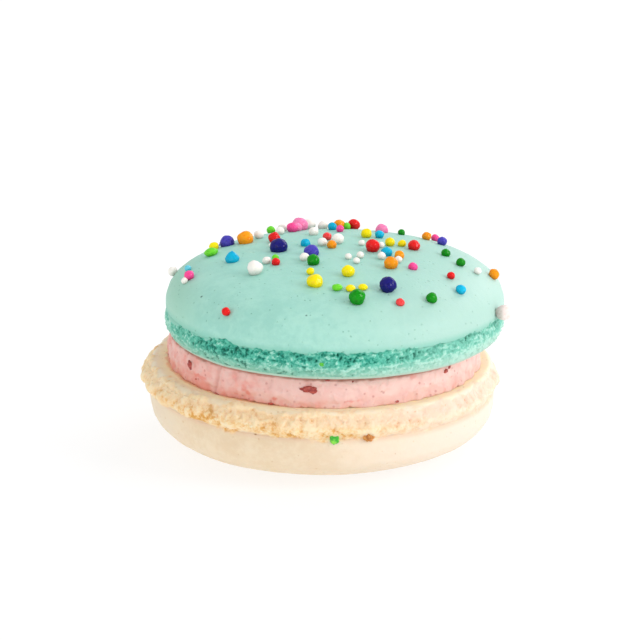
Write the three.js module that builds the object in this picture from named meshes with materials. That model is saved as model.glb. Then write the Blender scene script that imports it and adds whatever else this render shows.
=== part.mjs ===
// A French macaron: two almond-meringue shells with a disc of buttercream between them.
//
// Units are millimetres and +Z is up. The origin is the middle of the part's footprint, on the
// surface that it stands on. The front faces -Y.
//
// Each shell is a surface of revolution: a flat baked underside, a thin smooth lip, the rough foot
// that rises in the oven, and a domed top. The bottom shell lies upside down on its own crown, the
// filling covers its flat underside, and the top shell sits on the filling the right way up.

import * as THREE from 'three';

// ---------------------------------------------------------------- driving dimensions

const SEGMENTS = 80; // steps round the axis
const DOME_STEPS = 9; // steps from the foot to the crown
const FOOT_STEPS = 6; // steps up the rough foot
const BULGE_STEPS = 6; // steps up the filling's side

const TOP_SHELL = {
  name: 'top_shell',
  color: 0xa6e0d0,
  roughness: 0.6,
  domeRadius: 21.9, // where the dome meets the foot
  domeHeight: 6.8, // from the foot to the crown
  fullness: 2.65, // 2 is an ellipse, more is squarer in the shoulder
  crownFlat: 3.0, // radius of the level spot on the crown
  footHeight: 3.55, // lip and rough foot together
  footRadius: 22.1, // where the foot swells most
  lipRadius: 21.3, // edge of the flat underside
  lipHeight: 0.45, // the smooth band under the rough foot
  undercut: 0.45, // how far the foot tucks in under the dome's edge
  ruffle: 0.4, // how far the foot waves in and out
  outOfRound: 0.12, // how far the whole rim strays from a true circle
  seed: 11,
};

const BOTTOM_SHELL = {
  ...TOP_SHELL,
  name: 'bottom_shell',
  color: 0xf8e6c8,
  domeRadius: 22.5,
  domeHeight: 7.4,
  fullness: 3.5,
  crownFlat: 9.0, // the spot that it stands on
  footHeight: 3.45,
  footRadius: 23.2,
  lipRadius: 22.2,
  undercut: 0.25,
  ruffle: 0.5,
  outOfRound: 0.15,
  seed: 23,
};

const FILLING = {
  name: 'filling',
  color: 0xf3b9b3,
  roughness: 0.55,
  thickness: 4.0,
  edgeRadius: 19.8, // where it meets either shell
  bulge: 0.6, // how far its side swells past that edge
  lobe: 0.22, // unevenness of the piped edge
  seed: 37,
};

const SEAT_GAP = 0.1; // clearance between the filling and each shell
const TOP_OFFSET = 1.8; // the top shell sits this far to the right of the bottom one
const FILLING_OFFSET = 0.4;
const LEAN = THREE.MathUtils.degToRad(0.9); // the bottom shell was baked a little lopsided

// Waves round the rim, as [count round the shell, share of the full depth].
const RUFFLES = [[7, 0.25], [13, 0.3], [19, 0.25], [29, 0.2]];
const LOBES = [[3, 0.35], [8, 0.4], [14, 0.25]];
const RIM_SWAYS = [[2, 0.5], [3, 0.3], [5, 0.2]];
const RUFFLE_TWIST = 0.15; // radians that the waves slant by, from the lip to the dome
const SWELL_SHAPE = 0.7; // below 1 makes a swollen edge rounder than a sine wave

// ---------------------------------------------------------------- helpers

// A repeatable generator of numbers from 0 to 1.
function seeded(seed) {
  let state = seed;
  return () => {
    state = (state * 16807) % 2147483647;
    return state / 2147483647;
  };
}

// Returns a function of the angle round the axis, from about -1 to 1, that closes on itself.
function waves(harmonics, seed) {
  const random = seeded(seed);
  const phases = harmonics.map(() => random() * 2 * Math.PI);
  return (angle) =>
    harmonics.reduce((sum, [count, share], i) => sum + share * Math.sin(count * angle + phases[i]), 0);
}

// Spins a profile of (radius, height) points round Z, then moves each vertex by shape(radius,
// angle, height), which returns its new [radius, height]. Points on the axis have to stay there.
function spun(profile, shape) {
  const geometry = new THREE.LatheGeometry(profile, SEGMENTS);
  geometry.rotateX(Math.PI / 2);
  const position = geometry.getAttribute('position');
  for (let column = 0; column <= SEGMENTS; column++) {
    const angle = ((column % SEGMENTS) / SEGMENTS) * 2 * Math.PI;
    profile.forEach((point, row) => {
      const [radius, height] = shape(point.x, angle, point.y);
      position.setXYZ(
        column * profile.length + row,
        radius * Math.cos(angle),
        radius * Math.sin(angle),
        height,
      );
    });
  }
  geometry.computeVertexNormals();
  return geometry;
}

function material({ color, roughness }) {
  return new THREE.MeshStandardMaterial({ color, roughness, metalness: 0 });
}

// ---------------------------------------------------------------- the shells

// How far the rough foot swells past the lip, for t from 0 at the lip to 1 at the dome.
function footSwell(t, { lipRadius, footRadius, domeRadius, undercut }) {
  const chord = THREE.MathUtils.lerp(lipRadius, domeRadius - undercut, t);
  const rise = footRadius - (lipRadius + domeRadius - undercut) / 2;
  return chord + rise * Math.sin(Math.PI * t) ** SWELL_SHAPE;
}

// (radius, height) points from the middle of the flat underside to the middle of the crown.
function shellProfile(shell) {
  const { domeRadius, domeHeight, fullness, crownFlat, footHeight, lipRadius, lipHeight } = shell;
  const points = [new THREE.Vector2(0, 0), new THREE.Vector2(lipRadius - lipHeight, 0)];
  for (let i = 0; i <= FOOT_STEPS; i++) {
    const t = i / FOOT_STEPS;
    const height = THREE.MathUtils.lerp(lipHeight, footHeight - shell.undercut, t);
    points.push(new THREE.Vector2(footSwell(t, shell), height));
  }
  for (let i = 0; i < DOME_STEPS; i++) {
    const a = (i / DOME_STEPS) * (Math.PI / 2);
    const radius = domeRadius * Math.cos(a) ** (2 / fullness);
    if (radius <= crownFlat) break;
    points.push(new THREE.Vector2(radius, footHeight + domeHeight * Math.sin(a) ** (2 / fullness)));
  }
  const crown = footHeight + domeHeight;
  points.push(new THREE.Vector2(crownFlat, crown), new THREE.Vector2(0, crown));
  return points;
}

// One shell, the right way up, with its flat underside at z = 0. lean tips the underside about
// the Y axis and leaves the crown level.
function makeShell(shell, lean) {
  const { footHeight, domeHeight, lipHeight, domeRadius } = shell;
  const ruffle = waves(RUFFLES, shell.seed);
  const sway = waves(RIM_SWAYS, shell.seed);
  const geometry = spun(shellProfile(shell), (radius, angle, height) => {
    const t = THREE.MathUtils.clamp((height - lipHeight) / (footHeight - lipHeight), 0, 1);
    const wave = radius > 0 ? shell.ruffle * Math.sin(Math.PI * t) * ruffle(angle + RUFFLE_TWIST * t) : 0;
    const r = radius + wave + shell.outOfRound * sway(angle) * (radius / domeRadius);
    const settled = THREE.MathUtils.smoothstep(height, footHeight, footHeight + domeHeight);
    return [r, height + Math.tan(lean) * r * Math.cos(angle) * (1 - settled)];
  });
  const mesh = new THREE.Mesh(geometry, material(shell));
  mesh.name = shell.name;
  return mesh;
}

// ---------------------------------------------------------------- the filling

function fillingProfile({ thickness, edgeRadius, bulge }) {
  const height = thickness - 2 * SEAT_GAP;
  const points = [new THREE.Vector2(0, 0)];
  for (let i = 0; i <= BULGE_STEPS; i++) {
    const t = i / BULGE_STEPS;
    points.push(new THREE.Vector2(edgeRadius + bulge * Math.sin(Math.PI * t) ** SWELL_SHAPE, height * t));
  }
  points.push(new THREE.Vector2(0, height));
  return points;
}

// The filling, with its lower face at z = 0 and tipped to match the shell that it lies on.
function makeFilling(filling, lean) {
  const lobes = waves(LOBES, filling.seed);
  const height = filling.thickness - 2 * SEAT_GAP;
  const geometry = spun(fillingProfile(filling), (radius, angle, z) => {
    const r = radius > 0 ? radius + filling.lobe * lobes(angle) : 0;
    const drop = Math.tan(lean) * (r * Math.cos(angle) + FILLING_OFFSET) * (1 - z / height);
    return [r, z - drop];
  });
  const mesh = new THREE.Mesh(geometry, material(filling));
  mesh.name = filling.name;
  return mesh;
}

// ---------------------------------------------------------------- the macaron

const macaron = new THREE.Group();
macaron.name = 'french_macaron';

const bottomHeight = BOTTOM_SHELL.footHeight + BOTTOM_SHELL.domeHeight;

const bottom = makeShell(BOTTOM_SHELL, LEAN);
bottom.rotation.x = Math.PI; // upside down, on its crown
bottom.position.z = bottomHeight;

const filling = makeFilling(FILLING, LEAN);
filling.position.set(FILLING_OFFSET, 0, bottomHeight + SEAT_GAP);

const top = makeShell(TOP_SHELL, 0);
top.position.set(TOP_OFFSET, 0, bottomHeight + FILLING.thickness);

macaron.add(bottom, filling, top);

// The origin goes to the middle of the footprint, at the height of the spot that it stands on.
const box = new THREE.Box3().setFromObject(macaron, true);
const middle = box.getCenter(new THREE.Vector3());
macaron.position.set(-middle.x, -middle.y, -box.min.z);

export default macaron;
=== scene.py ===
# %% [markdown]
# # A French macaron
#
# A macaron is two round shells of baked almond meringue, joined flat side to flat side by a disc of
# buttercream. This one has a turquoise shell on top with sugar pearls scattered over it, a cream shell
# below that lies upside down on its own dome, and pink buttercream with bits of fruit between them.
#
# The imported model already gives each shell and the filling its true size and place. Here each of them
# gets the fine surface that the plain solid lacks, and the sugar and the fruit are added.

# %% Load the frame
import math
import random

import bmesh
import bpy
import numpy as np
from mathutils import Matrix, Vector, noise
from mathutils.bvhtree import BVHTree


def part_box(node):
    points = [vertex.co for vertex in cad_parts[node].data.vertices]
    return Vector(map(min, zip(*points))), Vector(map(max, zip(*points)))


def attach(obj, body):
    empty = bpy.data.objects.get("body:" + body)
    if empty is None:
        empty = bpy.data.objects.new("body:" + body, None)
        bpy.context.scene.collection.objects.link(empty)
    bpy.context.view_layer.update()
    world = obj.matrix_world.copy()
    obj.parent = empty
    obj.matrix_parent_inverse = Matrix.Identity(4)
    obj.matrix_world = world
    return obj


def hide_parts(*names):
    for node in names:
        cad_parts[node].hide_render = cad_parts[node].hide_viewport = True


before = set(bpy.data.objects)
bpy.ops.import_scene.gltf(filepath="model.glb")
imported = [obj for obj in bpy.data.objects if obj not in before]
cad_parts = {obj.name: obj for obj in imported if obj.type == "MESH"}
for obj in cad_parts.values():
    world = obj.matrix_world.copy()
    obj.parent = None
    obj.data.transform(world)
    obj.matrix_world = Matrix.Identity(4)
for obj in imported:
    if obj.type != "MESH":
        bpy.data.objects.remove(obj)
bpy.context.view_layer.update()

MM = 0.001  # one millimetre in metres

# %% [markdown]
# ## Where everything is
#
# The frame's boxes say where each solid is. The shapes below are worked out in millimetres, each round
# its own upright axis, and go to metres and to their place in the frame at the very end. That way a
# number such as 0.4 can be read as a real size on the real macaron.


# %% Read the places of the three solids
def read_box(node):
    """The axis, the lowest and highest height and the outer radius of a round solid, in millimetres."""
    low, high = (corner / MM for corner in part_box(node))
    axis = Vector(((low.x + high.x) / 2, (low.y + high.y) / 2, 0))
    return {"axis": axis, "low": low.z, "high": high.z, "outer": (high.x - low.x) / 2}


top_box = read_box("top_shell")
bottom_box = read_box("bottom_shell")
filling_box = read_box("filling")
for solid, box in (("top shell", top_box), ("bottom shell", bottom_box), ("filling", filling_box)):
    outer, low, high = (round(box[key], 2) for key in ("outer", "low", "high"))
    print("the", solid, "has a radius of", outer, "mm and reaches from", low, "to", high, "mm")

# %% [markdown]
# ## Camera, light and floor
#
# The camera looks slightly down at the front from 30 centimetres away, with a long lens, so that the
# round shells keep their true proportions. The light is what a food stylist uses: white all round, a
# soft lamp at the right, which leaves small soft shadows to the left of every pearl and models the
# rough feet, and a second one further back, whose reflection pales the dome. A weak one at the front
# left does what a white card would do there, and opens the shadows. The table is a sheet of milky
# acrylic lit from below, so that it stays white and the macaron's own shadow nearly vanishes.

# %% Camera
CAMERA_DISTANCE = 300 * MM
CAMERA_HEIGHT_ANGLE = math.radians(17.2)
CAMERA_LENS = 129.6  # millimetres, on a sensor that is 36 wide
AIM_LEFT = 0.27  # the camera aims this far to the left of the cream shell's axis, in millimetres
AIM_HEIGHT = 15.8
aim = Vector((bottom_box["axis"].x - AIM_LEFT, 0, AIM_HEIGHT)) * MM
back = Vector((0, -math.cos(CAMERA_HEIGHT_ANGLE), math.sin(CAMERA_HEIGHT_ANGLE)))

camera = bpy.data.objects.new("camera", bpy.data.cameras.new("camera"))
bpy.context.scene.collection.objects.link(camera)
camera.data.lens = CAMERA_LENS
camera.data.clip_start = 0.01
camera.location = aim + back * CAMERA_DISTANCE
camera.rotation_mode = "QUATERNION"
camera.rotation_quaternion = (-back).to_track_quat("-Z", "Y")
bpy.context.scene.camera = camera
print("the camera is at", [round(side, 3) for side in camera.location])


# %% Light
WHITE = (1.0, 1.0, 1.0)
ROSY = (1.0, 0.93, 0.95)
LAMP_DISTANCE = 0.7  # metres
MACARON_MIDDLE = Vector((0, 0, 12 * MM))


def add_lamp(name, direction, width, power, tint):
    """A square soft lamp that faces the middle of the macaron."""
    lamp = bpy.data.lights.new(name, "AREA")
    lamp.shape = "SQUARE"
    lamp.size = width
    lamp.energy = power
    lamp.color = tint
    holder = bpy.data.objects.new(name, lamp)
    towards = Vector(direction).normalized()
    holder.location = MACARON_MIDDLE + towards * LAMP_DISTANCE
    holder.rotation_mode = "QUATERNION"
    holder.rotation_quaternion = towards.to_track_quat("Z", "Y")
    bpy.context.scene.collection.objects.link(holder)


add_lamp("side_lamp", (1.0, -0.4, 0.55), width=0.32, power=2.0, tint=ROSY)
add_lamp("back_lamp", (0.6, 0.8, 0.55), width=0.45, power=1.4, tint=ROSY)
add_lamp("front_card", (-0.6, -1.0, 0.35), width=0.45, power=0.6, tint=WHITE)

world = bpy.data.worlds.new("white_room")
world.use_nodes = True
world.node_tree.nodes["Background"].inputs["Color"].default_value = (1, 1, 1, 1)
world.node_tree.nodes["Background"].inputs["Strength"].default_value = 0.75
bpy.context.scene.world = world
bpy.context.scene.view_settings.view_transform = "Standard"
print("three soft lamps in a white room")

# %% Floor
floor_material = bpy.data.materials.new("lit_table")
floor_material.use_nodes = True
floor_shader = floor_material.node_tree.nodes["Principled BSDF"]
floor_shader.inputs["Base Color"].default_value = (0.3, 0.3, 0.3, 1)
floor_shader.inputs["Roughness"].default_value = 0.9
floor_shader.inputs["Emission Color"].default_value = (1, 1, 1, 1)
floor_shader.inputs["Emission Strength"].default_value = 0.72

floor_shape = bmesh.new()
bmesh.ops.create_grid(floor_shape, x_segments=1, y_segments=1, size=2.0)
floor_mesh = bpy.data.meshes.new("floor")
floor_shape.to_mesh(floor_mesh)
floor_shape.free()
floor_mesh.materials.append(floor_material)
floor = bpy.data.objects.new("floor", floor_mesh)
bpy.context.scene.collection.objects.link(floor)
print("the floor is", floor.dimensions.x, "m wide")

# %% [markdown]
# ## Arithmetic on shader sockets
#
# A finish is worked out from patterns, such as noise, and from values that are stored on the mesh.
# Wrapping a socket in a small class lets that be written as ordinary arithmetic: each operator adds the
# Math node that does it. Every other kind of node comes from the method node().


# %% The class for shader maths
class Shade:
    """A socket of a material's nodes. Arithmetic on it adds Math nodes."""

    def __init__(self, tree, socket=None):
        self.tree = tree
        self.socket = socket

    def node(self, kind, settings=None, inputs=None, output=0):
        """Adds a node, sets it up, fills or links its inputs and returns one of its outputs."""
        made = self.tree.nodes.new(kind)
        for name, value in (settings or {}).items():
            setattr(made, name, value)
        for name, value in (inputs or {}).items():
            if isinstance(value, Shade):
                self.tree.links.new(value.socket, made.inputs[name])
            else:
                made.inputs[name].default_value = value
        return Shade(self.tree, made.outputs[output])

    def math(self, operation, first, second):
        return self.node("ShaderNodeMath", {"operation": operation}, {0: first, 1: second})

    def __add__(self, other):
        return self.math("ADD", self, other)

    def __sub__(self, other):
        return self.math("SUBTRACT", self, other)

    def __rsub__(self, other):
        return self.math("SUBTRACT", other, self)

    def __mul__(self, other):
        return self.math("MULTIPLY", self, other)

    __radd__ = __add__
    __rmul__ = __mul__

    def ramp(self, low, high):
        """0 below low and 1 above high, with a smooth step between them. It may also run downwards."""
        settings = {"interpolation_type": "SMOOTHSTEP"}
        inputs = {"Value": self, "From Min": low, "From Max": high}
        return self.node("ShaderNodeMapRange", settings, inputs)

    def blend(self, first, second):
        """The first colour where this value is 0 and the second where it is 1."""
        settings = {"data_type": "RGBA"}
        return self.node("ShaderNodeMix", settings, {0: self, 6: first, 7: second}, output=2)


print("ready for shader maths")


# %% Small helpers for materials
def colour(code):
    """A screen colour such as 'a6e0d0' as the linear colour that a shader wants."""
    parts = [int(code[i : i + 2], 16) / 255 for i in (0, 2, 4)]
    return (*[p / 12.92 if p <= 0.04045 else ((p + 0.055) / 1.055) ** 2.4 for p in parts], 1)


def new_material(name, **constants):
    """A material and a Shade to build its nodes with. Constants go on the shader's own sockets."""
    material = bpy.data.materials.new(name)
    material.use_nodes = True
    shader = material.node_tree.nodes["Principled BSDF"]
    for socket, value in constants.items():
        shader.inputs[socket.replace("_", " ")].default_value = value
    return material, shader, Shade(material.node_tree)


def pattern_point(shade, size):
    """The place on the piece, in steps of the given size in millimetres."""
    place = shade.node("ShaderNodeTexCoord", output="Object")
    return place.node("ShaderNodeVectorMath", {"operation": "SCALE"}, {0: place, "Scale": 1 / (size * MM)})


def noise_of(shade, size, detail=2):
    """Soft noise with features of the given size in millimetres, from 0 to 1."""
    inputs = {"Vector": pattern_point(shade, size), "Scale": 1, "Detail": detail}
    return shade.node("ShaderNodeTexNoise", inputs=inputs, output="Fac")


def cell_distance(shade, size):
    """How far it is to the middle of the nearest cell, for cells of the given size in millimetres."""
    inputs = {"Vector": pattern_point(shade, size), "Scale": 1}
    return shade.node("ShaderNodeTexVoronoi", inputs=inputs, output="Distance")


def cell_luck(shade, size):
    """A different value from 0 to 1 for each cell of the given size in millimetres."""
    inputs = {"Vector": pattern_point(shade, size), "Scale": 1}
    cells = shade.node("ShaderNodeTexVoronoi", inputs=inputs, output="Color")
    return shade.node("ShaderNodeSeparateColor", inputs={0: cells}, output="Red")


def stored(shade, name):
    """A value that the mesh stores at its vertices."""
    return shade.node("ShaderNodeAttribute", {"attribute_name": name}, output="Fac")


def finish_with(shade, shader, base, roughness, height, depth):
    """Links the colour, the roughness and a bump of the given depth in millimetres to the shader."""
    inputs = {"Strength": 1.0, "Distance": depth * MM, "Height": height}
    bump = shade.node("ShaderNodeBump", inputs=inputs, output="Normal")
    for socket, value in (("Base Color", base), ("Roughness", roughness), ("Normal", bump)):
        shade.tree.links.new(value.socket, shader.inputs[socket])


print("cream reads as", [round(part, 2) for part in colour("f8e6c8")[:3]])

# %% [markdown]
# ## Making a round piece
#
# Shells and filling are all round, so each starts as an outline of radius and height, from one pole to
# the other, which is spun round the upright axis. Only the outline decides where the mesh is fine: the
# points lie a tenth of a millimetre apart on the crumbly foot and a millimetre apart on the smooth dome.
# The fine relief is then pushed into the spun mesh point by point, as a sculptor's brush would do it.


# %% Outline helpers
SLICES = 20  # a spin of a thousand steps is slow, and copies of one slice are quick
CURVE_STEPS = 300  # fine enough to measure along any of the curves
MERGE_DISTANCE = 0.0005  # millimetres


def smooth(value, low, high):
    """0 below low, 1 above high, and a smooth step between them."""
    share = min(max((value - low) / (high - low), 0), 1)
    return share * share * (3 - 2 * share)


def evenly(points, spacing):
    """The same line as points close together, but with points about spacing apart and no first point."""
    line = np.array(points)
    travelled = np.concatenate([[0], np.cumsum(np.hypot(*np.diff(line, axis=0).T))])
    stops = np.linspace(0, travelled[-1], max(round(travelled[-1] / spacing), 1) + 1)[1:]
    return list(zip(np.interp(stops, travelled, line[:, 0]), np.interp(stops, travelled, line[:, 1])))


def curve(function):
    """Points close together on a curve that is given as a function of 0 to 1."""
    return [function(step / CURVE_STEPS) for step in range(CURVE_STEPS + 1)]


def join_up(start, stretches):
    """An outline that goes on from its first point along (function of 0 to 1, spacing) stretches."""
    outline = [start]
    for stretch, spacing in stretches:
        outline += evenly(curve(stretch), spacing)
    return outline


def spin_outline(outline, steps):
    """Spins (radius, height) points round the upright axis, first one slice and then copies of it."""
    whole = {"cent": (0, 0, 0), "axis": (0, 0, 1), "use_merge": False}
    slice_angle = math.tau / SLICES
    shape = bmesh.new()
    verts = [shape.verts.new((radius, 0, height)) for radius, height in outline]
    edges = [shape.edges.new(pair) for pair in zip(verts, verts[1:])]
    bmesh.ops.spin(shape, geom=verts + edges, angle=slice_angle, steps=steps // SLICES, **whole)
    slice_parts = shape.verts[:] + shape.edges[:] + shape.faces[:]
    copies = {"angle": math.tau - slice_angle, "steps": SLICES - 1, "use_duplicate": True}
    bmesh.ops.spin(shape, geom=slice_parts, **copies, **whole)
    bmesh.ops.remove_doubles(shape, verts=shape.verts, dist=MERGE_DISTANCE)
    bmesh.ops.recalc_face_normals(shape, faces=shape.faces)
    shape.normal_update()
    return shape


def push_out(shape, relief, names):
    """Moves each point along its normal by the first number of relief(point), and stores the others."""
    layers = [shape.verts.layers.float.new(name) for name in names]
    moved = []
    for vert in shape.verts:
        push, *values = relief(vert.co)
        moved.append(vert.co + vert.normal * push)
        for layer, value in zip(layers, values):
            vert[layer] = value
    for vert, place in zip(shape.verts, moved):
        vert.co = place


def add_piece(shape, name, material, slot, *stands_for):
    """Turns a shape in millimetres into a piece in metres, in place of the plain solids in stands_for."""
    bmesh.ops.scale(shape, vec=(MM, MM, MM), verts=shape.verts)
    bmesh.ops.recalc_face_normals(shape, faces=shape.faces)
    mesh = bpy.data.meshes.new(name)
    shape.to_mesh(mesh)
    shape.free()
    mesh.shade_smooth()
    mesh.materials.append(material)
    piece = bpy.data.objects.new(name, mesh)
    bpy.context.scene.collection.objects.link(piece)
    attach(piece, "root")
    if stands_for:
        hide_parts(*stands_for)
    triangles = sum(len(face.vertices) - 2 for face in mesh.polygons)
    print(name, "has", triangles, "triangles")


print("ready to spin")


# %% Patterns of crumb
LUCK_STRIDE = 7.31  # takes the middles of neighbouring cells to places where their luck differs


def lumps(point, size):
    """1 on the top of round lumps of the given size, falling to 0 in the creases between them."""
    nearest = noise.voronoi(point / size)[0][0]
    return 1 - min(nearest, 1) ** 2


def holes(point, size, share):
    """1 inside round holes, 0 outside. share is how many of the cells have one."""
    distances, centres = noise.voronoi(point / size)
    luck = noise.cell(centres[0] * LUCK_STRIDE)
    if luck > share:
        return 0
    radius = 0.2 + 0.3 * luck / share
    return 1 - smooth(distances[0], 0.55 * radius, radius)


def bubbles(point, size, share):
    """How deep an open bubble is: 0 on the walls between bubbles and up to 1 in the middle of one."""
    distances, centres = noise.voronoi(point / size)
    luck = noise.cell(centres[0] * LUCK_STRIDE)
    if luck > share:
        return 0
    return smooth(distances[1] - distances[0], 0.06, 0.5) * (1 - 0.5 * luck / share)


def upright(point, amount):
    """The point with its height multiplied: below 1 a pattern is drawn out upwards, above 1 it is flat."""
    return Vector((point.x, point.y, point.z * amount))


print("a lump is", round(lumps(Vector((1, 2, 3)), 0.9), 2), "high at one spot")

# %% [markdown]
# ## The shells
#
# While a macaron bakes, the dry skin of its dome lifts and the batter boils out below it. That is the
# foot: a ring of set foam, torn and porous, under a smooth eggshell dome. The flat face that lay on the
# paper is smooth too, a little hollow inside a thin rounded lip. All of this is one closed outline. The
# dome is part of a superellipse, which is fuller in the shoulder than a sphere or an ellipse.

# %% Sizes of the shells
LEAN = math.radians(0.9)  # the cream shell was baked a little lopsided
HOLLOW = 0.12  # how far the flat face lies back inside the lip
BEAD = 2.4  # width of the raised rim of the flat face
DOME_EDGE = 0.06  # the share of the dome's curve, next to the foot, that is as fine as the foot
LEANING_REACH = 22.2  # how far the leaning face reaches from its middle
SHELL_STEPS = 1120

top_shell = {
    "height": top_box["high"] - top_box["low"],
    "dome_radius": top_box["outer"] - 0.31,  # the foot's swell and waves reach past the dome
    "foot_height": 3.55,
    "foot_radius": 22.0,
    "lip_radius": 21.3,
    "lip": 0.22,  # radius of the rounded lip
    "undercut": 0.25,
    "swell_shape": 0.7,  # below 1 the foot is squarer than a sine wave, above 1 it is softer
    "fullness": 2.65,
}
bottom_shell = {
    "height": bottom_box["high"] - math.tan(LEAN) * LEANING_REACH,
    "dome_radius": bottom_box["outer"] - 0.76,
    "foot_height": 3.45,
    "foot_radius": 23.2,
    "lip_radius": 22.3,
    "lip": 0.7,
    "undercut": 0.06,
    "swell_shape": 1.4,
    "fullness": 3.5,
}
print("heights", round(top_shell["height"], 2), "and", round(bottom_shell["height"], 2), "mm")


# %% Outline of a shell
def shell_outline(shell):
    """(radius, height) points from the middle of the flat face, over lip, foot and dome, to the crown."""
    edge, lip, foot, dome = (shell[key] for key in ("lip_radius", "lip", "foot_height", "dome_radius"))
    undercut, rise = shell["undercut"], shell["height"] - foot
    neck = dome - undercut
    swell = shell["foot_radius"] - (edge + neck) / 2
    power = 2 / shell["fullness"]

    def face(t):
        return ((edge - BEAD) * t, HOLLOW)

    def rim(t):
        return (edge - BEAD + (BEAD - lip) * t, HOLLOW * (1 - smooth(t, 0, 1)))

    def rounded_lip(t):
        turn = t * math.pi / 2
        return (edge - lip + lip * math.sin(turn), lip - lip * math.cos(turn))

    def foot_side(t):
        bulge = swell * math.sin(math.pi * t) ** shell["swell_shape"]
        return (edge + (neck - edge) * t + bulge, lip + (foot - undercut - lip) * t)

    def overhang(t):
        turn = t * math.pi / 2
        return (neck + undercut * math.sin(turn), foot - undercut * math.cos(turn))

    def dome_side(t):
        turn = t * math.pi / 2
        return (dome * math.cos(turn) ** power, foot + rise * math.sin(turn) ** power)

    def dome_edge(t):
        return dome_side(DOME_EDGE * t)

    def dome_top(t):
        return dome_side(DOME_EDGE + (1 - DOME_EDGE) * t)

    stretches = (
        (face, 3.0),
        (rim, 0.25),
        (rounded_lip, 0.12),
        (foot_side, 0.115),
        (overhang, 0.12),
        (dome_edge, 0.14),
        (dome_top, 1.15),
    )
    return join_up((0, HOLLOW), stretches)


print("a shell's outline has", len(shell_outline(top_shell)), "points")

# %% [markdown]
# ## The rough feet
#
# The turquoise foot tore as it rose, so it is foam with open bubbles and deep hollows under the dome.
# The cream one set in soft crumbs. A bump in the finish would leave both with a smooth outline, so
# patterns of cells and noise push each point of the fine mesh in or out instead. The same patterns are
# stored on the mesh, and the finish reads them, so that its colour follows every crumb and pit.

# %% What both shells share
# What a shell's relief gives for each point after the push along its normal: how much it is foot and
# not skin, how bright its crumb is from pit to top, partly as painted shade and light, how high it is
# from lip to dome, how pale the turquoise shell's bare lip is or how far fruit has soaked into the cream
# shell's flat face and how much painted light it gets, and how far it is to the right of the axis in
# radii of the dome.
SHELL_VALUES = ["foot", "depth", "up", "face_tone", "across"]


def height_share(point, shell):
    """0 at the lip and 1 at the lower edge of the dome."""
    return (point.z - shell["lip"]) / (shell["foot_height"] - shell["lip"])


def skin_relief(point):
    """The soft unevenness of the baked skin."""
    swells = 0.07 * noise.noise(point / 7)
    return swells + 0.03 * noise.noise(point / 2.2) + 0.01 * noise.noise(point / 0.6)


def toward_right(point):
    """0 at the left and 1 at the right, where both feet are finer and painted paler, as painted light."""
    return smooth(point.x + 3 * noise.noise(point / 5), -18, 20)


print("skin is uneven by", round(skin_relief(Vector((3, 4, 5))), 3), "mm at one spot")


# %% The torn foot
def torn_relief(point, shell):
    """The turquoise foot: torn foam, with a ragged band of deep hollows under the dome."""
    up = height_share(point, shell)
    across = point.x / shell["dome_radius"]
    bare_lip = 0.75 * (1 - smooth(point.z, 0.26, 0.5))
    border = up + 0.13 * noise.noise(point / 2.4) + 0.11 * noise.noise(point / 0.6)
    border += 0.18 * (1 - smooth(point.x, -21.5, -14))
    share = smooth(point.z, 0.28, 0.45) * (1 - smooth(border, 0.88, 1.04))
    if share == 0:
        return skin_relief(point), 0, 0.5, up, bare_lip, across

    # Foam: crumbs, with more and larger open bubbles where it tore in the upper half.
    tall = upright(point, 0.8)
    patchy = noise.noise(point / 2) + 0.5 * noise.noise(point / 0.8) - 0.15 * toward_right(point)
    torn = smooth(up, 0.3, 0.7) * smooth(patchy, -0.2, 0.4)
    crumb = 0.14 * lumps(tall, 0.65) + 0.13 * noise.noise(tall / 0.3)
    pits = (0.02 + 0.2 * torn) * bubbles(tall, 0.56, 0.3 + 0.3 * torn)
    pits += (0.06 + 0.12 * torn) * bubbles(tall, 0.34, 0.6)
    slits = 0.12 * holes(upright(point, 1.8), 0.6, 0.08) * (1 - torn)
    waves = 0.25 * noise.noise(upright(point, 0) / 3.0)
    push = crumb - 0.08 - pits - slits + waves - 0.14 * torn

    # Brightness: the crumbs are pale and the hollows deep in colour, partly the foam's own colour and
    # partly painted light on the tops and painted shade in the hollows, most of all in the torn band under
    # the dome. Towards the right the contrast is lower and the lower foot paler, as painted light.
    mottled = 0.3 * noise.noise(tall / 0.7 + Vector((5, 0, 0)))
    hollow = 1.3 * pits + 0.38 * torn + 4 * slits
    depth = 0.57 + (1 - 0.3 * toward_right(point)) * (1.3 * (crumb - 0.09) + mottled - hollow)
    right_part = toward_right(point) * (0.32 - 0.3 * smooth(up, 0.3, 0.7))
    left_end = 0.2 * (1 - smooth(point.x, -21, -14))
    depth = min(max(depth + (right_part + left_end), 0), 1)
    return skin_relief(point) + share * push, share, depth, up, bare_lip, across


values = torn_relief(Vector((0, -22, 2)), top_shell)[1:]
print("the torn foot stores", {name: round(value, 2) for name, value in zip(SHELL_VALUES, values)})

# %% The crumbly foot
# The buttercream's middle as the cream shell sees it, before that shell is turned over.
filling_middle = filling_box["axis"] - bottom_box["axis"]
filling_middle.y = -filling_middle.y


def face_juice_and_light(point):
    """How much the flat face round the buttercream is painted: a paler cream all round, as painted light
    where the filling and the top shell shade it, and orange near the buttercream at the left, where fruit
    soaked in, together with painted light glowing through the pink cream.
    """
    radius = math.hypot(point.x - filling_middle.x, point.y - filling_middle.y) + 0.35 * noise.noise(point / 1.1)
    juice_and_light = 0.55 * (1 - smooth(radius, 21.4, 22.2)) + 0.45 * (1 - smooth(radius, 20.4, 20.9))
    juice_and_light += 0.8 * (1 - smooth(radius, 20.3, 21.6)) * (1 - smooth(point.x, -14, 4))
    return juice_and_light * (1 - smooth(point.z, 0.5, 1))


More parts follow.
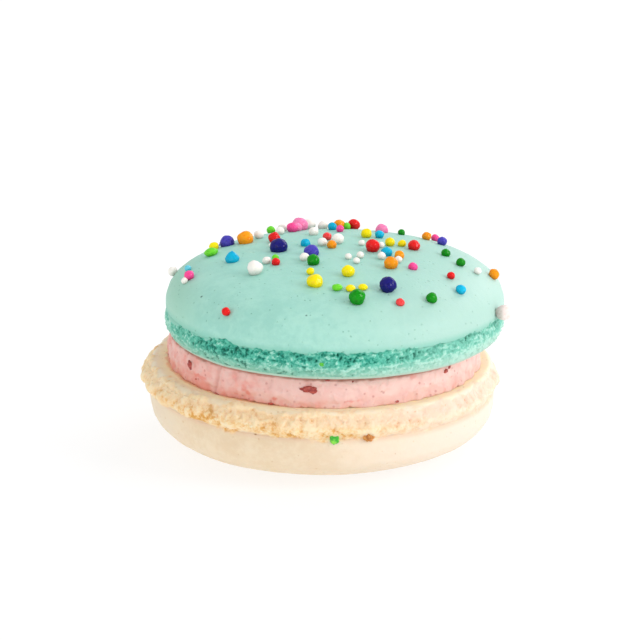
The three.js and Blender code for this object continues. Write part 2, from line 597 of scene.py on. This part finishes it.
def crumbly_relief(point, shell):
    """The cream foot: small soft crumbs in clusters, which thin out towards face and dome."""
    up = height_share(point, shell)
    across = point.x / shell["dome_radius"]
    juice_and_light = face_juice_and_light(point)
    border = up + 0.25 * noise.noise(point / 2.8) + 0.14 * noise.noise(point / 0.8)
    share = smooth(border, -0.26, -0.02) * (1 - smooth(border, 0.68, 1.14))
    if share == 0 or math.hypot(point.x, point.y) < shell["lip_radius"] - 1:
        wrinkles = 0.012 * noise.noise(upright(point, 0.15) / 0.9) * smooth(up, 1, 1.5)
        return skin_relief(point) + wrinkles, 0, 0.6, up, juice_and_light, across

    # Crumbs: large, middling and small ones on top of each other, with a few round holes between them.
    finer = 1 - 0.35 * toward_right(point)
    crumb = 0.38 * lumps(point, 1.7) + 0.24 * lumps(point, 0.85) + 0.07 * lumps(point, 0.42)
    pits = 0.13 * holes(point, 0.8, 0.3) + 0.05 * holes(point, 0.4, 0.4)
    waves = 0.3 * noise.noise(upright(point, 0) / 3.5) - 0.01 * point.x
    push = (crumb - 0.36 - pits) * finer + waves

    # Brightness: pale on the tops of the crumbs and golden in the creases and holes, partly the crumbs' own
    # colour and partly painted light and painted shade. It is paler towards the right, as painted light.
    golden = 0.4 * noise.noise(point / 1.9 + Vector((9, 0, 0)))
    depth = 0.4 + finer * (2.8 * (crumb - 0.42) - 1.8 * pits + golden)
    depth = min(max(depth + 0.3 * toward_right(point), 0), 1)
    return skin_relief(point) + share * push, share, depth, up, juice_and_light, across


push = crumbly_relief(Vector((0, -23, 2)), bottom_shell)[0]
print("the crumbly foot is pushed out by", round(push, 2), "mm at one spot")

# %% [markdown]
# ## The finish of the shells
#
# Baked meringue is dull and lets a little light in. Its colour is painted paler towards the right, as
# painted light, and darker at the far left, towards the crown and along the dome's lower edge, as painted
# shade. Fine specks of ground almond show in the skin. The foot is deeper in colour in its pits than on
# its crumbs, partly its own colour and partly painted shade and painted light. A picture could be wrapped
# round the shell for all this. Working it out from noise and from the stored values needs no picture and
# stays sharp at any distance.


# %% Finish of the shells
def shell_material(name, tones):
    """Eggshell skin with almond specks and a foot deeper in colour in its pits, with painted shade and
    light.

    tones holds the colours, and how much the shell glows, how much painted light pales its foot towards
    the right and how speckled that foot is.
    """
    material, shader, shade = new_material(
        name,
        Subsurface_Weight=tones["glow"],
        Subsurface_Radius=(1.0, 0.8, 0.6),
        Subsurface_Scale=1.2 * MM,
        Specular_IOR_Level=0.5,
    )
    tone = {key: colour(code) for key, code in tones.items() if isinstance(code, str)}
    foot = stored(shade, "foot")
    depth = stored(shade, "depth")
    up = stored(shade, "up")
    across = stored(shade, "across")
    pale = across.ramp(-0.36, 0.82)
    leftmost = across.ramp(-0.7, -0.95)
    grain = noise_of(shade, 0.25, detail=2)
    fine = noise_of(shade, 0.8, detail=3)
    cloudy = noise_of(shade, 4, detail=3) * 0.5 + fine * 0.35 + grain * 0.15

    # The skin: clouds of two tones, with specks and pinholes. It is painted paler at the right, as painted
    # light, and darker at the far left, towards the crown and along the dome's lower edge, as painted
    # shade.
    # Its specks fade at the right under the painted light, and its pinholes are painted dark, as painted
    # shade inside them.
    scattered = cell_luck(shade, 0.8).ramp(0.35, 0.75)
    specks = (cell_distance(shade, 0.8) + grain * 0.3 - 0.15).ramp(0.19, 0.09) * scattered
    pinholes = cell_distance(shade, 3.8).ramp(0.07, 0.04) * cell_luck(shade, 3.8).ramp(0.3, 0.4)
    skin = cloudy.ramp(0.38, 0.62).blend(tone["skin_dark"], tone["skin"])
    skin = pale.blend(skin, tone["skin_right_lit"])
    skin = leftmost.blend(skin, tone["skin_left_shade"])
    skin = (up.ramp(2.0, 3.2) * 0.6).blend(skin, tone["skin_dark"])
    # On the cream shell the flat face round the buttercream is painted a paler cream, as painted light
    # where the filling and the top shell shade it, and orange near the buttercream at the left, where fruit
    # soaked in, together with painted light glowing through the pink cream. On the turquoise shell the same
    # value only pales the bare lip.
    face_tone = stored(shade, "face_tone")
    skin = face_tone.blend(skin, tone["face_tone"])
    skin = (face_tone.ramp(1.0, 1.8) * 0.7).blend(skin, tone["juice_and_light"])
    skin = (up.ramp(1.26, 0.98) * up.ramp(0.6, 0.9) * 0.7).blend(skin, tone["skin_edge_shade"])
    skin = (specks * (0.6 - pale * 0.35)).blend(skin, tone["speck"])
    skin = (pinholes * up.ramp(2.7, 2.2) * 0.9).blend(skin, tone["pinhole"])

    # The foot: from the depth of its pits to the top of its crumbs, partly its own colour and partly
    # painted shade in the pits and painted light on the tops. It is paler below, and paler at the right as
    # painted light. Its pores are painted dark, as painted shade inside them.
    pores = cell_distance(shade, 0.5).ramp(0.3, 0.15) * cell_luck(shade, 0.5).ramp(0.55, 0.75)
    speckled = (cell_luck(shade, 0.24) - 0.5) * tones["speckles"]
    crumb = depth * 0.95 + speckled + (grain - 0.5) * 0.4 + 0.03
    rough = crumb.ramp(0.0, 0.42).blend(tone["foot_deep"], tone["foot_mid"])
    rough = crumb.ramp(0.42, 0.85).blend(rough, tone["foot_high"])
    rough = (pale.ramp(0.4, 1.0) * tones["right_light"]).blend(rough, tone["foot_right_lit"])
    lower = pale.blend(tone["foot_low"], tone["foot_right_lit"])
    rough = (up.ramp(0.6, 0.1) * 0.65).blend(rough, lower)
    rough = (leftmost * 0.2).blend(rough, tone["foot_low"])
    rough = (pores * depth.ramp(0.6, 0.15) * 0.6).blend(rough, tone["pore"])
    rough = (depth.ramp(0.1, 0.0) * 0.6).blend(rough, tone["pore"])
    rough = (specks * 0.45).blend(rough, tone["speck"])

    base = foot.ramp(0.05, 0.6).blend(skin, rough)
    roughness = 0.5 + foot * 0.35 + grain * 0.08
    height = grain * 0.3 + fine * 0.25 + foot * grain * 0.7 - specks * 0.4 - pinholes
    finish_with(shade, shader, base, roughness, height, depth=0.08)
    return material


turquoise = shell_material(
    "turquoise_meringue",
    {
        "glow": 0.15,
        "right_light": 0.22,
        "speckles": 0.28,
        "skin": "ade3d3",
        "skin_dark": "9dd8c9",
        "skin_right_lit": "b0d8cb",
        "skin_left_shade": "a0d4bf",
        "skin_edge_shade": "7fc8b4",
        "face_tone": "bcd4c2",
        "juice_and_light": "bcd4c2",
        "speck": "68a995",
        "pinhole": "1d4f45",
        "foot_high": "ace6d4",
        "foot_mid": "5dc3aa",
        "foot_deep": "1e967f",
        "foot_low": "9acbb6",
        "foot_right_lit": "bce2d2",
        "pore": "0f5f50",
    },
)
cream = shell_material(
    "cream_meringue",
    {
        "glow": 0.5,
        "right_light": 0.6,
        "speckles": 0.45,
        "skin": "efddc0",
        "skin_dark": "e8d2b1",
        "skin_right_lit": "f1e2d0",
        "skin_left_shade": "ebdabf",
        "skin_edge_shade": "e8cbae",
        "face_tone": "ffeec2",
        "juice_and_light": "f5b886",
        "speck": "d9b98c",
        "pinhole": "b98a5c",
        "foot_high": "fae2bb",
        "foot_mid": "f4d09a",
        "foot_deep": "e2a856",
        "foot_low": "f4d9b3",
        "foot_right_lit": "f5dbc9",
        "pore": "d9a04e",
    },
)
print("two shell finishes")


# %% Build the shells
def place_top(shape):
    """The turquoise shell is the right way up, on the filling."""
    bmesh.ops.translate(shape, vec=top_box["axis"] + Vector((0, 0, top_box["low"])), verts=shape.verts)


def place_bottom(shape):
    """The cream shell is turned over onto its crown, and its flat face leans a little to the right."""
    height = bottom_shell["height"]
    for vert in shape.verts:
        settled = smooth(vert.co.z, bottom_shell["foot_height"], height)
        vert.co.z += math.tan(LEAN) * vert.co.x * (1 - settled)
    bmesh.ops.rotate(shape, cent=(0, 0, 0), matrix=Matrix.Rotation(math.pi, 3, "X"), verts=shape.verts)
    bmesh.ops.translate(shape, vec=bottom_box["axis"] + Vector((0, 0, height)), verts=shape.verts)


def add_shell(shell, relief, place, name, material, node):
    """Spins a shell, roughens it and puts it in place. Returns its surface, for things that lie on it."""
    shape = spin_outline(shell_outline(shell), SHELL_STEPS)
    push_out(shape, lambda point: relief(point, shell), SHELL_VALUES)
    place(shape)
    surface = BVHTree.FromBMesh(shape)
    add_piece(shape, name, material, name, node)
    return surface


top_surface = add_shell(top_shell, torn_relief, place_top, "turquoise_shell", turquoise, "top_shell")
bottom_surface = add_shell(bottom_shell, crumbly_relief, place_bottom, "cream_shell", cream, "bottom_shell")

# %% [markdown]
# ## The filling
#
# The buttercream was piped as one thick disc and pressed flat by the top shell. Its side bulges a
# little, and it keeps soft folds where the strand of cream closed on itself. A cylinder with its rims
# bevelled would do from afar. A spun outline gives the bulge directly, and leaves a mesh that is fine
# enough for the folds, which are grooves with a soft swell on one side.

# %% Shape of the filling
FILLING_STEPS = 820
FILLING_HEIGHT = top_box["low"] - bottom_shell["height"]
FILLING_BULGE = 0.6
FILLING_EDGE = filling_box["outer"] - FILLING_BULGE
SINK = HOLLOW + 0.1  # how far it reaches into either shell's hollow
TOP_SHIFT = top_box["axis"].x - filling_box["axis"].x  # the top shell sits a little to the right
HIDDEN_FRUIT = (
    # degrees to the right of the front, height, then the width and height of the patch that shows
    (-29, 1.4, 1.0, 0.45),
    (-17, 0.8, 0.7, 0.3),
    (9.5, 0.8, 0.8, 0.18),
    (-50, 1.5, 1.2, 0.3),
    (33, 3.0, 0.9, 0.4),
    (130, 1.8, 1.1, 0.5),
    (215, 1.2, 0.8, 0.6),
)
FOLDS = (
    # degrees to the right of the front, depth, how far it slants to the left as it rises
    (-41, 0.19, -0.25),
    (-19, 0.05, 0.1),
    (-5, 0.06, 0.05),
    (35, 0.05, -0.2),
    (96, 0.12, 0.3),
    (171, 0.15, -0.4),
    (248, 0.1, 0.2),
)


def filling_outline():
    """(radius, height) points from the middle of the base, round the bulge, to the middle of the top."""

    def side(t):
        # The bulge is already wide at the base, widest a little above it, and gone at the top.
        bulge = FILLING_BULGE * math.sin(math.pi * (0.2 + 0.8 * t)) ** 0.7
        return (FILLING_EDGE + bulge, FILLING_HEIGHT * t + SINK * (2 * t - 1))

    low, high = side(0)[1], side(1)[1]
    stretches = (
        (lambda t: (FILLING_EDGE * t, low), 4),
        (side, 0.15),
        (lambda t: (FILLING_EDGE * (1 - t), high), 4),
    )
    return join_up((0, low), stretches)


print("the filling's outline has", len(filling_outline()), "points")


# %% How soft the filling is
def way_round(azimuth, middle):
    """How far azimuth lies to the right of middle on the filling's side, in millimetres."""
    turn = (azimuth - middle + 180) % 360 - 180
    return math.radians(turn) * FILLING_EDGE


def hill(distance, width):
    """A rounded hill: 1 in its middle, and nearly 0 from twice its width on."""
    return math.exp(-((distance / width) ** 2))


def cream_relief(point):
    """Soft swells, folds and small air holes. Also says how much painted shade darkens it there, and how
    much redder it is, which is partly painted shade at the left and painted light at the right.
    """
    if math.hypot(point.x, point.y) < FILLING_EDGE - 1:
        return 0, 0, 0
    up = point.z / FILLING_HEIGHT
    azimuth = math.degrees(math.atan2(point.x, -point.y))
    flat = upright(point, 2.2)
    swells = 0.25 * noise.noise(point / 5) + 0.12 * noise.noise(flat / 2.4)
    swells += 0.035 * noise.noise(flat / 0.8)
    groove = 0
    for middle, depth, slant in FOLDS:
        # A narrow groove, with a broad swell along its right side.
        along = way_round(azimuth, middle) + slant * (point.z - 2) + 0.2 * noise.noise(point / 0.9)
        groove += depth * hill(along, 0.36) - 0.8 * depth * hill(along - 0.9, 0.7)
    air = 0.12 * holes(point, 0.9, 0.06)
    spread = 0.2 * (1 - smooth(up, 0, 0.15)) * (0.6 + noise.noise(point / 1.6))

    # Painted shade: darker in the folds, in the seam below at the left, and where the top shell shades it.
    crease_shade = min(max(groove * 2, 0), 0.3)
    ragged = 0.03 * noise.noise(point / 0.7)
    overhang = top_shell["lip_radius"] + TOP_SHIFT * math.sin(math.radians(azimuth)) - FILLING_EDGE
    covered = 1.0 - 0.08 * overhang
    shaded = smooth(up + ragged, covered - 0.06, covered - 0.01)
    seam = 0.13 * (1 - smooth(up + ragged, 0.0, 0.05)) * (1 - smooth(point.x, -12, 6))

    # Ruddier near the cream shell and over the fruit that lies just under the surface. Also ruddier and
    # darker at the left and paler at the right, which is painted shade and painted light.
    ruddy_and_shade = 0.47 - 0.58 * smooth(point.x, -22, 13) + 0.3 * (1 - smooth(up, 0, 0.4))
    for middle, height, wide, tall in HIDDEN_FRUIT:
        away = math.hypot(way_round(azimuth, middle) / wide, (point.z - height) / tall)
        ruddy_and_shade += 0.6 * (1 - smooth(away + noise.noise(point / 0.6), 0.3, 1.2))
    return swells - groove - air + spread, max(crease_shade, seam, shaded), ruddy_and_shade


shape = spin_outline(filling_outline(), FILLING_STEPS)
push_out(shape, cream_relief, ["crease_shade", "ruddy_and_shade"])
for vert in shape.verts:
    settled = vert.co.z / FILLING_HEIGHT
    vert.co.z -= math.tan(LEAN) * vert.co.x * (1 - settled)
middle = filling_box["axis"] + Vector((0, 0, bottom_shell["height"]))
bmesh.ops.translate(shape, vec=middle, verts=shape.verts)
filling_surface = BVHTree.FromBMesh(shape)
print("the filling is", round(FILLING_HEIGHT, 2), "mm thick between the shells")


# %% Finish of the filling
def buttercream_material():
    """Smooth pink cream, a little see-through, with faint red streaks from the fruit. Painted shade darkens
    its folds, its seam and its top under the shell, and it is painted redder and darker at the left and
    paler at the right, as painted shade and painted light.
    """
    material, shader, shade = new_material(
        "pink_buttercream",
        Subsurface_Weight=0.3,
        Subsurface_Radius=(1.0, 0.5, 0.4),
        Subsurface_Scale=1.2 * MM,
    )
    crease_shade = stored(shade, "crease_shade")
    cloudy = noise_of(shade, 1.6, detail=4)
    grain = noise_of(shade, 0.3)
    few = noise_of(shade, 2.2)
    seeds = cell_distance(shade, 0.9).ramp(0.25, 0.12) * few.ramp(0.38, 0.52)
    ruddy_and_shade = stored(shade, "ruddy_and_shade") + (cloudy - 0.5) * 1.3
    pale, pink, red, seed, brown = map(colour, ("f6d0c6", "efc3ba", "ea978a", "b8645e", "a65f4a"))
    # Painted shade and light: ruddier and darker at the left, paler at the right.
    base = ruddy_and_shade.ramp(-0.25, 0.15).blend(pale, pink)
    base = ruddy_and_shade.ramp(0.1, 0.9).blend(base, red)
    base = (seeds * 0.45).blend(base, seed)
    # Painted shade: brown in the folds, in the seam at the base at the left and under the top shell's lip.
    base = (crease_shade * 0.75).blend(base, brown)
    finish_with(shade, shader, base, 0.42 + grain * 0.15, cloudy * 0.6 + grain * 0.4, depth=0.08)
    return material


add_piece(shape, "buttercream", buttercream_material(), "pink_buttercream", "filling")

# %% [markdown]
# ## Fruit in the filling and stray crumbs
#
# Bits of red fruit show in the side of the buttercream, and a few crumbs stuck where they fell. Each is
# an icosphere made lumpy with noise, which looks torn from every side where a cube would show its
# edges. It is half sunk into the surface where a ray from outside meets it. Its place is an azimuth,
# which is the degrees that it lies to the right of the front, and a height. Its size is a width and a
# height in millimetres. The back, which nobody has seen, gets a few of the same kind by chance.

# %% Shape of a bit
OUTSIDE = 40  # farther from the axis than any piece
BACK_BITS = 12
dice = random.Random(5)


def beside(surface, azimuth, height):
    """The point of a piece's side at that height and azimuth, and the way straight out from the axis."""
    turn = math.radians(azimuth)
    out = Vector((math.sin(turn), -math.cos(turn), 0))
    spot = surface.ray_cast(out * OUTSIDE + Vector((0, 0, height)), -out)[0]
    return spot, out


def add_bit(shape, surface, azimuth, height, wide, tall, thick=0.5, lean=0):
    """A rough lump, half in the surface. lean turns it clockwise by degrees, as seen from outside."""
    spot, out = beside(surface, azimuth, height)
    turn = out.to_track_quat("X", "Z").to_matrix() @ Matrix.Rotation(math.radians(lean), 3, "X")
    ball = bmesh.ops.create_icosphere(shape, subdivisions=3, radius=0.5)["verts"]
    shift = Vector((dice.uniform(0, 50), dice.uniform(0, 50), 0))
    for vert in ball:
        rough = 1 + 0.5 * noise.noise(vert.co * 2.5 + shift) + 0.2 * noise.noise(vert.co * 6 + shift)
        vert.co = spot + turn @ (vert.co * Vector((thick, wide, tall)) * rough)


FRUIT_BITS = [
    # azimuth, height above the cream shell, width and height, then thickness and lean where they matter
    (-56, 2.5, 0.65, 1.4, 0.5, 32),
    (-6.1, 2.35, 1.5, 0.8, 0.45, 5),
    (-4.2, 2.25, 1.3, 0.8, 0.45, -10),
    (48, 2.5, 0.7, 0.55, 0.4),
    (50.2, 2.75, 0.5, 0.3, 0.3, 30),
    (-60, 0.1, 0.7, 0.3, 0.3),
    (-41, 0.1, 0.8, 0.35, 0.3),
    (-19, 0.15, 0.8, 0.3, 0.3),
    (26, 0.1, 0.5, 0.25, 0.3),
    (1, 3.55, 0.5, 0.22, 0.3),
    (9.8, 3.2, 0.28, 0.22, 0.2),
    (-52, 1.1, 0.3, 0.2, 0.2),
]
for step in range(BACK_BITS):
    azimuth = 75 + 210 * (step + dice.uniform(0.1, 0.9)) / BACK_BITS
    height = dice.uniform(0.2, 3.4)
    wide = dice.uniform(0.3, 1.3)
    tall = dice.uniform(0.3, 0.9)
    FRUIT_BITS.append((azimuth, height, wide, tall, 0.3))
print(len(FRUIT_BITS), "bits of fruit")


# %% Finish and make the bits
FOOT_EDGE = 7.6  # height of the lower edge of the cream shell's foot


def crumb_material(name, light, dark, dullness):
    """A small moist thing in patches of two colours. The lower its dullness, the wetter it looks."""
    material, shader, shade = new_material(
        name,
        Subsurface_Weight=0.2,
        Subsurface_Radius=(1.0, 0.3, 0.2),
        Subsurface_Scale=0.5 * MM,
    )
    patches = noise_of(shade, 0.5, detail=3)
    base = patches.ramp(0.35, 0.65).blend(colour(dark), colour(light))
    finish_with(shade, shader, base, dullness + patches * 0.2, patches, depth=0.06)
    return material


shape = bmesh.new()
for azimuth, height, *size in FRUIT_BITS:
    add_bit(shape, filling_surface, azimuth, bottom_shell["height"] + height, *size)
add_piece(shape, "fruit_bits", crumb_material("red_fruit", "c0584a", "98302c", 0.3), "fruit_bits")

shape = bmesh.new()
add_bit(shape, bottom_surface, 3, FOOT_EDGE, 1.1, 1.5, 0.7)
add_bit(shape, top_surface, -1, top_box["low"] + 2.2, 0.5, 0.45)
add_piece(shape, "green_crumbs", crumb_material("green_sugar", "8be04a", "35b02c", 0.4), "sugar_pearls")

shape = bmesh.new()
add_bit(shape, bottom_surface, 14, FOOT_EDGE, 1.3, 1.2, 1.1)
add_piece(shape, "brown_crumbs", crumb_material("caramel_crumb", "dea058", "b06a28", 0.6), "cream_shell")

# %% [markdown]
# ## Sugar pearls
#
# Nonpareils are sugar grains that were tumbled in coloured syrup until they grew round, so no two are
# alike: most are a little lopsided, some are flat flakes, some end in a point and some sank in deeper.
# They were dropped on the top shell while it was wet. Particles would scatter them by chance, so each
# is placed one by one, in millimetres to the right of the shell's axis and towards its back, with its
# width and, unless it is a plain ball, its kind. A ray from above finds the dome there. All of them are
# one mesh, which stores the colour of each, so that one finish serves them all.

# %% Places of the pearls
PEARLS = {
    # for each colour: to the right, towards the back, width and kind
    "faf6ef": [  # white
        (-20.8, 3, 1.3), (-19, -5, 0.9), (-10, 9, 1.3), (-10, -8.1, 2), (-8.7, -4.6, 1.1), (-8.3, 3, 0.6),
        (-7, 16.6, 1.4), (-7.2, 10.6, 1.2), (-3.4, 17, 1.8), (-2.8, 9, 1.3), (-1.5, 16.5, 1.4),
        (-3.9, -4.2, 1.2), (-1.6, 2.8, 1.3), (0.4, 4, 1.6), (3.5, 2.9, 0.85), (6, 1.8, 0.9),
        (5.9, -3.5, 1.1), (8, -4.6, 1), (1.7, -3.8, 0.9), (3.2, -3.2, 1), (2.7, -5.6, 0.9),
        (18.1, -3.2, 1),
    ],
    "ffe808": [  # yellow
        (-15.8, 6.5, 1.3), (-3.1, -9.6, 1), (-2.5, -13, 2, "dome"), (4.2, 7.5, 1.4), (7.15, 3, 1.3),
        (8.75, 3.2, 1.1), (1.6, -10.2, 1.65), (1.8, -14.6, 1.25, "flake"), (3.4, -14.1, 1.2, "flake"),
    ],
    "ff9c10": [  # orange
        (-11.7, 6.7, 2.2, "dome"), (-0.4, 1.5, 1.3), (0.65, 15, 1.6), (8.2, -2.8, 1.3), (7, -6.9, 1.8),
        (12.2, 10.4, 1.25), (20.2, -1, 1.4),
    ],
    "e41818": [  # red
        (-7.9, 5.6, 1.6), (-7.5, -5.4, 1.1), (2.65, 16, 1.65), (4.85, 0.1, 1.85), (10.2, 2, 1.6),
        (14.5, -7.7, 1), (-13.3, -15.9, 1.1),
    ],
    "f04848": [(-1, 6, 1.2), (7.85, -16.6, 1.1, "dome")],  # coral
    "f9509a": [  # pink
        (-18.4, -4.5, 1.3), (-5.6, 12.4, 1.5), (0.75, 11.3, 1.1), (9.8, -6.6, 1.2, "dome"), (13.4, 12, 1.1),
    ],
    "fb86b8": [(-4.6, 15, 2.2), (-5, 13.6, 1.4), (6.35, 12.4, 1.7, "dome")],  # pale pink
    "70d830": [  # lime
        (-16, 2.8, 1.8, "flake"), (-8.5, 15.4, 1.2), (-7.6, -3.4, 0.9), (1.65, 15, 1.15),
        (0.2, -14.5, 1.3, "flake"),
    ],
    "008e06": [  # green
        (-2.75, -6, 1.6), (8.95, 11.5, 1), (14.3, 1.2, 1.2), (16, -2, 1.2), (11.7, -14.7, 1.4),
        (2.55, -17.1, 2.05),
    ],
    "00b6dc": [  # blue
        (-13.1, -2.2, 1.8, "drop"), (-3.8, 2.7, 1.3, "dome"), (-0.25, 13.4, 1.25), (5.9, 7.5, 1.2),
        (6.6, -1.7, 1.5, "dome"), (15.5, -10.8, 1.3),
    ],
    "6cd4e8": [(-18.8, -1, 0.9)],  # pale blue
    "4a43b6": [(-14.1, 7.2, 1.9, "dome"), (-3, -1.8, 1.95, "dome"), (14.15, 8.3, 1.3)],  # purple
    "131172": [(-7.2, 0.7, 2.3, "dome"), (6.4, -13.9, 2.15)],  # navy
}
print(sum(len(places) for places in PEARLS.values()), "pearls in", len(PEARLS), "colours")

# %% Shape of the pearls
KINDS = {
    # how tall it is for its width, the share that sank in, and how much it narrows towards its top
    "ball": {"tall": 0.95, "sunk": 0.15, "peak": 0},
    "dome": {"tall": 0.95, "sunk": 0.28, "peak": 0},
    "flake": {"tall": 0.6, "sunk": 0.1, "peak": 0},
    "drop": {"tall": 1.05, "sunk": 0.3, "peak": 0.45},
    "bead": {"tall": 1.0, "sunk": 0.03, "peak": 0},
}
HIGH_ABOVE = 60  # above the whole macaron
DOWN = Vector((0, 0, -1))


def above(right, back):
    """The point of the dome that far to the right of its axis and behind it, and the way it faces."""
    start = top_box["axis"] + Vector((right, back, HIGH_ABOVE))
    spot, facing = top_surface.ray_cast(start, DOWN)[:2]
    return spot, facing


def add_pearl(shape, tint, spot, facing, width, kind="ball"):
    """A lopsided lump of sugar of one kind, sunk into the dome a little, with painted shade towards its
    foot.
    """
    tall, sunk, peak = KINDS[kind].values()
    centre = spot + facing * width * tall * (0.5 - sunk - dice.uniform(-0.03, 0.05))
    turn = facing.to_track_quat("Z", "Y").to_matrix() @ Matrix.Rotation(dice.uniform(0, math.tau), 3, "Z")
    subdivisions = 4 if width > 1.35 else 3  # a small one needs fewer faces to look round
    ball = bmesh.ops.create_icosphere(shape, subdivisions=subdivisions, radius=0.5)["verts"]
    shift = Vector((dice.uniform(0, 50), dice.uniform(0, 50), 0))
    tone = dice.uniform(0.95, 1.05)
    layer = shape.verts.layers.float_color["tint"]
    for vert in ball:
        # Painted shade and light: the colour is darker towards the pearl's foot and a little lighter on
        # top.
        painted_shading = tone * (0.64 + 0.42 * smooth(vert.co.z, -0.45, 0.3))
        vert[layer] = [min(part * painted_shading, 1) for part in tint[:3]] + [1]
        lopsided = 1 + 0.12 * noise.noise(vert.co * 2.4 + shift) + 0.05 * noise.noise(vert.co * 7 + shift)
        narrower = 1 - peak * max(2 * vert.co.z, 0)
        vert.co = centre + turn @ (vert.co * Vector((narrower, narrower, tall)) * lopsided * width)


print("kinds of pearl:", ", ".join(KINDS))


# %% Finish of the pearls
def sugar_material():
    """A thin glaze of coloured sugar: a soft gloss over a skin with tiny dimples."""
    material, shader, shade = new_material(
        "sugar_glaze",
        Specular_IOR_Level=0.0,
        Coat_Weight=0.45,
        Coat_Roughness=0.14,
        Subsurface_Weight=0.1,
        Subsurface_Radius=(1.0, 1.0, 1.0),
        Subsurface_Scale=0.2 * MM,
    )
    tint = shade.node("ShaderNodeAttribute", {"attribute_name": "tint"}, output="Color")
    dimples = noise_of(shade, 0.35, detail=3)
    # The colour times itself at half strength is the same hue, only deeper.
    settings = {"data_type": "RGBA", "blend_type": "MULTIPLY"}
    shadow = shade.node("ShaderNodeMix", settings, {0: 0.5, 6: tint, 7: tint}, output=2)
    base = dimples.ramp(0.5, 0.3).blend(tint, shadow)
    finish_with(shade, shader, base, 0.32 + dimples * 0.2, dimples, depth=0.06)
    return material


# %% Make the pearls
BACK_PEARLS = 6
dice = random.Random(7)
shape = bmesh.new()
shape.verts.layers.float_color.new("tint")
for code, places in PEARLS.items():
    for right, back, *looks in places:
        add_pearl(shape, colour(code), *above(right, back), *looks)

# A whole pearl that stuck to the right rim, and by chance a few small ones on the rim at the back.
rim = beside(top_surface, 70, top_box["low"] + 4.5)
add_pearl(shape, colour("f2e4de"), *rim, 2, "bead")
for step in range(BACK_PEARLS):
    turn = math.radians(40 + 100 * (step + dice.uniform(0.1, 0.9)) / BACK_PEARLS)
    radius = dice.uniform(20.6, 21.4)
    code = dice.choice(list(PEARLS))
    rim = above(radius * math.cos(turn), radius * math.sin(turn))
    add_pearl(shape, colour(code), *rim, dice.uniform(0.8, 1.2))
add_piece(shape, "sugar_pearls", sugar_material(), "sugar_pearls")
